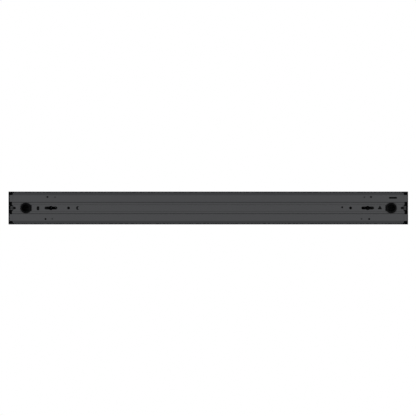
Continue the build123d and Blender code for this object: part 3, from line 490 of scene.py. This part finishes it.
def led_row(board):
    """The LEDs of one board: a white cup with a corner mark, its domed phosphor, and tinned feet."""
    middles, _, z, foot, top = led_places(board)
    half_x, half_z = LED_LENGTH / 2 - 0.14 * MM, LED_WIDTH / 2
    start = {"foot": foot, "top": top}
    bm = bmesh.new()
    for x in middles:
        loft(bm, [
            rounded_ring(x, z, start[end] + rise * MM, half_x - inset * MM, half_z - inset * MM, corner * MM)
            for end, rise, inset, corner in LED_RINGS
        ], LED_BANDS)
        for side in (-1, 1):
            for foot_z in (z - FOOT_HEIGHT, z + FOOT_HEIGHT):
                chip(bm, (x + side * (LED_LENGTH / 2 - 0.25 * MM), foot_z), 0.25 * MM, 0.36 * MM,
                     foot, 0.16 * MM, 2, 0.05 * MM)
        chip(bm, (x + half_x - 0.24 * MM, z + half_z - 0.24 * MM), 0.08 * MM, 0.08 * MM,
             top - 0.03 * MM, 0.03 * MM, 2, 0.01 * MM)
    materials = (LOOKS["white_plastic"], LOOKS["led_yellow"], TIN)
    piece_from(bm, f"leds_{board}", materials, (f"led_packages_{board}",))


def board_details(board):
    """The copper under a board's mask, which stands a little proud, with end pads and chip resistors."""
    low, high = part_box(f"led_board_{board}")
    middles, pitch, z, foot, _ = led_places(board)
    rivets = [(low.x + high.x) / 2 + side * step * pitch for side in (-1, 1) for step in RIVET_STEPS]
    copper, parts = bmesh.new(), bmesh.new()
    half_patch = (pitch - COPPER_GAP) / 2
    for x in middles[:-1]:
        for side in (-1, 1):
            patch_x = x + pitch / 2 + side * COPPER_SHIFT
            if any(abs(patch_x - rivet) < half_patch + RIVET_ROOM for rivet in rivets):
                continue
            loft(copper, [
                rounded_ring(patch_x, z + side * (COPPER_NEAR + COPPER_FAR) / 2, foot + rise, half_patch,
                             (COPPER_FAR - COPPER_NEAR) / 2, 0.5 * MM)
                for rise in (0.0, MASK_RISE)
            ], (0,))
    for end_x in (low.x + PAD_FROM_END, high.x - PAD_FROM_END):
        for pad_z in (z - PAD_HEIGHT, z + PAD_HEIGHT):
            loft(parts, [
                rounded_ring(end_x, pad_z, foot + rise * MM, half * MM, half * 0.8 * MM, 0.6 * MM)
                for rise, half in PAD_RINGS
            ], (0, 0, 0))
    half_length, height, half_width = RESISTOR
    for x in middles[3:-3:RESISTOR_EVERY]:
        middle = (x + pitch / 2, z + RESISTOR_HEIGHT)
        chip(parts, middle, half_length, half_width, foot + MASK_RISE, height, 1, 0.06 * MM)
        for side in (-1, 1):
            chip(parts, (middle[0] + side * (half_length + 0.25 * MM), middle[1]), 0.3 * MM, half_width,
                 foot + MASK_RISE, height, 0, 0.08 * MM)
    piece_from(copper, f"board_copper_{board}", (LOOKS["board_white"],))
    piece_from(parts, f"board_parts_{board}", (TIN, LOOKS["ferrite"]))


for board in ("upper_left", "upper_right", "lower_left", "lower_right"):
    led_row(board)
    board_details(board)


def block_of(bm, x_range, z_range, y_range, band=0, edge=0.15):
    """A moulded block between three pairs of limits in millimetres, its room-side edges broken."""
    (x0, x1), (z0, z1), (y0, y1) = x_range, z_range, y_range
    chip(bm, ((x0 + x1) / 2 * MM, (z0 + z1) / 2 * MM), (x1 - x0) / 2 * MM, (z1 - z0) / 2 * MM,
         y0 * MM, (y1 - y0) * MM, band, edge * MM)


FEED_BLOCKS = (  # x, z and height limits of the moulding of a push-in connector, and its material number
    ((-5, 5), (-4, 4), (0, 0.9), 0),
    ((-5, -2.4), (1.7, 4), (0.9, 3.4), 0), ((-5, -2.4), (-4, -1.7), (0.9, 3.4), 0),
    ((-2.4, 5), (-4, 4), (0.9, 3.4), 0), ((-4.7, 4.8), (-3.8, 3.8), (3.4, 4.05), 0),
    ((-1.6, 1.2), (0.7, 2.9), (4.05, 4.3), 2), ((-1.6, 1.2), (-2.9, -0.7), (4.05, 4.3), 2),
    ((2.4, 4.2), (1.2, 2.4), (4.05, 4.15), 1), ((2.4, 4.2), (-2.4, -1.2), (4.05, 4.15), 1),
    ((5, 5.7), (1.1, 2.5), (0, 0.35), 1), ((5, 5.7), (-2.5, -1.1), (0, 0.35), 1),
)
JUMPER_BLOCKS = (
    ((-7, -0.25), (-3.5, 3.5), (0, 2.9), 0), ((0.25, 7), (-3.5, 3.5), (0, 2.9), 0),
    ((-4.6, 4.6), (-2.4, 2.4), (2.9, 3.5), 0), ((-0.25, 0.25), (-2.2, 2.2), (0.6, 2.9), 2),
    ((-6.4, -5.2), (-2.6, 2.6), (2.9, 3.2), 2), ((5.2, 6.4), (-2.6, 2.6), (2.9, 3.2), 2),
    ((-7.8, -7), (0.9, 2.3), (0, 0.35), 1), ((-7.8, -7), (-2.3, -0.9), (0, 0.35), 1),
    ((7, 7.8), (0.9, 2.3), (0, 0.35), 1), ((7, 7.8), (-2.3, -0.9), (0, 0.35), 1),
)


def connectors(name, node, blocks):
    """Both moulded connectors of one kind, one on each row of boards, in place of their CAD blocks."""
    low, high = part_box(node)
    half_height = max(z_range[1] for _, z_range, _, _ in blocks) * MM
    bm = bmesh.new()
    for z in (low.z + half_height, high.z - half_height):
        for x_range, z_range, y_range, band in blocks:
            block_of(bm, x_range, z_range, y_range, band)
        new = [vertex for vertex in bm.verts if not vertex.tag]
        bmesh.ops.translate(bm, verts=new, vec=((low.x + high.x) / 2, low.y, z))
        for vertex in new:
            vertex.tag = True
    materials = (LOOKS["white_plastic"], TIN, LOOKS["grey_plastic"])
    piece_from(bm, name, materials, (node,))


connectors("feed_connector_bodies", "feed_connectors", FEED_BLOCKS)
connectors("board_jumper_bodies", "board_jumpers", JUMPER_BLOCKS)


# Leads: the places of the connectors they join, as the model's own boxes give them --------------------
_, block_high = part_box("terminal_block")
driver_low, driver_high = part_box("driver_cover")
feed_low, feed_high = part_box("feed_connectors")
grommet_low, grommet_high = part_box("tray_grommet")
tag_low, tag_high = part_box("earth_tag")
selector_low, selector_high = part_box("selector_board")
BLOCK_RIGHT = block_high.x - 8 * MM
GROMMET_X = (grommet_low.x + grommet_high.x) / 2
FEED_X = (feed_low.x + feed_high.x) / 2
EARTH_X = (tag_low.x + tag_high.x) / 2
SELECTOR_X = (selector_low.x + selector_high.x) / 2
SELECTOR_Z = (selector_low.z + selector_high.z) / 2
ENTRY_Y = 29 * MM
POLE_Z = 8 * MM
BOARD_ROW = 18 * MM
CORE_WIDTH = 2.4 * MM
EARTH_WIDTH = 2.36 * MM
RIBBON_WIDTH = 3.2 * MM


def route_curve(name, points):
    """A smooth line with a route's points as its control points."""
    curve = bpy.data.curves.new(name, "CURVE")
    curve.dimensions = "3D"
    curve.resolution_u = 10
    spline = curve.splines.new("NURBS")
    spline.points.add(len(points) - 1)
    for control, point in zip(spline.points, points):
        control.co = (*point, 1)
    spline.order_u = 3
    spline.use_endpoint_u = True
    return curve


def lead(name, points, width, slot):
    """A round lead along its route, in place of the CAD lead of the same name."""
    curve = route_curve(name, points)
    curve.bevel_depth = width / 2
    curve.bevel_resolution = 5
    curve.use_fill_caps = True
    curve.materials.append(LOOKS[slot])
    cable = bpy.data.objects.new(f"{name}_wire", curve)
    scene.collection.objects.link(cable)
    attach(cable, "root")
    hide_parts(name)


def lead_path(points):
    """The points that a smooth line passes through, read back from its spline."""
    curve = route_curve("path", points)
    guide = bpy.data.objects.new("path", curve)
    mesh = bpy.data.meshes.new_from_object(guide)
    path = [vertex.co.copy() for vertex in mesh.vertices]
    bpy.data.objects.remove(guide)
    bpy.data.meshes.remove(mesh)
    bpy.data.curves.remove(curve)
    return path


STRAND_RADIUS = 0.68 * MM
STRAND_OFFSET = 0.74 * MM
TWIST_LENGTH = 11 * MM
STRAND_SIDES = 12


def twisted_pair(name, points):
    """Two insulated strands twisted round one route, in place of the CAD lead of the same name."""
    path = lead_path(points)
    bm = bmesh.new()
    for strand in (0, 1):
        across = Vector((0, 0, 1))
        travelled = 0.0
        centres, frames = [], []
        for i, point in enumerate(path):
            along = (path[min(i + 1, len(path) - 1)] - path[max(i - 1, 0)]).normalized()
            across = (across - along * across.dot(along)).normalized()
            up = along.cross(across)
            if i:
                travelled += (point - path[i - 1]).length
            turn = math.tau * (travelled / TWIST_LENGTH + strand / 2)
            centres.append(point + (across * math.cos(turn) + up * math.sin(turn)) * STRAND_OFFSET)
            frames.append((across.copy(), up))
        rings = []
        for centre, (side, up) in zip(centres, frames):
            angles = [math.tau * k / STRAND_SIDES for k in range(STRAND_SIDES)]
            rings.append([centre + (side * math.cos(t) + up * math.sin(t)) * STRAND_RADIUS for t in angles])
        loft(bm, rings, [strand] * (len(rings) - 1))
    for face in bm.faces:
        face.smooth = len(face.verts) == 4
    piece_from(bm, f"{name}_pair", (LOOKS["lead_white"], LOOKS["lead_black"]), (name,))


lead("line_lead", [
    (BLOCK_RIGHT - 4 * MM, ENTRY_Y, POLE_Z), (BLOCK_RIGHT + 6 * MM, ENTRY_Y, POLE_Z),
    (BLOCK_RIGHT + 16 * MM, ENTRY_Y, POLE_Z), (BLOCK_RIGHT + 44 * MM, 25 * MM, 8.6 * MM),
    (driver_low.x - 18 * MM, 24 * MM, 6 * MM), (driver_low.x - 1 * MM, 24 * MM, 6 * MM),
], CORE_WIDTH, "lead_black")
lead("neutral_lead", [
    (BLOCK_RIGHT - 4 * MM, ENTRY_Y, 0), (BLOCK_RIGHT + 6 * MM, ENTRY_Y, 0),
    (BLOCK_RIGHT + 16 * MM, ENTRY_Y, 0), (BLOCK_RIGHT + 44 * MM, 25 * MM, 1.4 * MM),
    (driver_low.x - 18 * MM, 24 * MM, -2 * MM), (driver_low.x - 1 * MM, 24 * MM, -2 * MM),
], CORE_WIDTH, "lead_white")
lead("earth_lead", [
    (BLOCK_RIGHT - 4 * MM, ENTRY_Y, -POLE_Z), (BLOCK_RIGHT + 5 * MM, ENTRY_Y, -POLE_Z),
    (BLOCK_RIGHT + 12 * MM, ENTRY_Y, -POLE_Z), (EARTH_X - 4 * MM, ENTRY_Y, -10 * MM),
    (EARTH_X, tag_high.y - 2.2 * MM, -13 * MM), (EARTH_X, tag_high.y - 2.2 * MM, -18 * MM),
    (EARTH_X, tag_high.y - 2.2 * MM, -23 * MM),
], EARTH_WIDTH, "lead_green")
for name, side in (("output_lead_upper", 1), ("output_lead_lower", -1)):
    twisted_pair(name, [
        (driver_high.x + 1 * MM, 23 * MM, side * 4 * MM), (driver_high.x + 10 * MM, 23 * MM, side * 4 * MM),
        (GROMMET_X, 26 * MM, side * 1.7 * MM), (GROMMET_X, 33 * MM, side * 1.7 * MM),
        (GROMMET_X, 41 * MM, side * 1.7 * MM), (GROMMET_X + 6 * MM, 44 * MM, side * 9 * MM),
        (FEED_X - 14 * MM, 39 * MM, side * BOARD_ROW), (FEED_X - 5 * MM, 39 * MM, side * BOARD_ROW),
    ])
lead("selector_lead", [
    (SELECTOR_X + 4 * MM, selector_high.y, SELECTOR_Z), (SELECTOR_X + 4 * MM, 21 * MM, SELECTOR_Z),
    (SELECTOR_X - 22 * MM, 27 * MM, SELECTOR_Z - 4 * MM), (SELECTOR_X - 52 * MM, 29 * MM, 20 * MM),
    (SELECTOR_X - 82 * MM, 29 * MM, 11 * MM), (SELECTOR_X - 112 * MM, 29 * MM, 9.5 * MM),
    (driver_high.x + 46 * MM, 29 * MM, 9.5 * MM), (driver_high.x + 16 * MM, 22.5 * MM, 9.5 * MM),
    (driver_high.x + 1 * MM, 22.5 * MM, 9.5 * MM),
], RIBBON_WIDTH, "lead_black")


# Stage: pale floor, soft light ------------------------------------------------------------------
FLOOR_HALF = 30.0
FLOOR_DROP = 0.2 * MM


def stage_floor():
    """A pale floor under the batten's lower edge. Seen from below it is clear."""
    mesh = bpy.data.meshes.new("floor")
    z = cad_low.z - FLOOR_DROP
    corners = [(-FLOOR_HALF, -FLOOR_HALF, z), (FLOOR_HALF, -FLOOR_HALF, z),
               (FLOOR_HALF, FLOOR_HALF, z), (-FLOOR_HALF, FLOOR_HALF, z)]
    mesh.from_pydata(corners, [], [(0, 1, 2, 3)])
    floor = bpy.data.objects.new("floor", mesh)
    scene.collection.objects.link(floor)
    s = Shader("floor", Specular_IOR_Level=0.1)
    s.colour(s.mix(s.noise(3.0, 4.0), (0.80, 0.80, 0.795), (0.83, 0.83, 0.825)))
    s.rough_between(0.75, 0.9, 8.0, 3.0)
    underside = s.node("ShaderNodeNewGeometry").outputs["Backfacing"]
    clear = s.node("ShaderNodeBsdfTransparent")
    one_sided = s.node("ShaderNodeMixShader")
    s.feed(one_sided.inputs[0], underside)
    s.feed(one_sided.inputs[1], s.bsdf.outputs[0])
    s.feed(one_sided.inputs[2], clear.outputs[0])
    s.feed(s.tree.nodes["Material Output"].inputs["Surface"], one_sided.outputs[0])
    mesh.materials.append(s.material)
    floor.visible_diffuse = False
    floor.visible_glossy = False
    floor.visible_shadow = False
    return floor


floor = stage_floor()


def softbox(name, place, target, size, power):
    """A soft rectangular light, out of the camera's own sight."""
    data = bpy.data.lights.new(name, "AREA")
    data.shape = "RECTANGLE"
    data.size, data.size_y = size
    data.energy = power
    light = bpy.data.objects.new(name, data)
    scene.collection.objects.link(light)
    light.location = place
    light.rotation_mode = "QUATERNION"
    light.rotation_quaternion = (Vector(target) - Vector(place)).to_track_quat("-Z", "Y")
    light.visible_camera = False
    return light


SOFTBOXES = (  # name, place, target, size, watts
    ("back_left", (-2.7, -2.5, 0), (0, 0, 0), (1.6, 1.6), 54),
    ("back_right", (2.7, -2.5, 0), (0, 0, 0), (1.6, 1.6), 54),
    ("front_left", (-1.6, 3.2, 0.8), (0, 0, 0), (1.8, 1.4), 62),
    ("front_right", (2.3, 3.0, 0.8), (0, 0, 0), (1.8, 1.4), 40),
    ("end_left", (-3.4, 0.9, 0.5), (-0.6, 0.03, 0), (1.4, 1.4), 46),
    ("end_right", (3.4, 0.9, 0.5), (0.6, 0.03, 0), (1.4, 1.4), 46),
)
for settings in SOFTBOXES:
    softbox(*settings)
floor_light = softbox("floor_light", (0, 0, 5.0), (0, 0, 0), (6, 6), 900)
floor_only = bpy.data.collections.new("floor_only")
floor_only.objects.link(floor)
floor_light.light_linking.receiver_collection = floor_only

AMBIENT = (0.60, 0.74, 1.0, 1)
AMBIENT_STRENGTH = 0.06
BACKDROP = (1, 1, 1, 1)


def studio_world():
    """A faint cool light from all round, and white where the camera looks past the batten."""
    world = bpy.data.worlds.new("studio")
    world.use_nodes = True
    tree = world.node_tree
    ambient = tree.nodes["Background"]
    ambient.inputs["Color"].default_value = AMBIENT
    ambient.inputs["Strength"].default_value = AMBIENT_STRENGTH
    backdrop = tree.nodes.new("ShaderNodeBackground")
    backdrop.inputs["Color"].default_value = BACKDROP
    ray = tree.nodes.new("ShaderNodeLightPath")
    blend = tree.nodes.new("ShaderNodeMixShader")
    tree.links.new(ray.outputs["Is Camera Ray"], blend.inputs[0])
    tree.links.new(ambient.outputs[0], blend.inputs[1])
    tree.links.new(backdrop.outputs[0], blend.inputs[2])
    tree.links.new(blend.outputs[0], tree.nodes["World Output"].inputs["Surface"])
    return world


scene.world = studio_world()
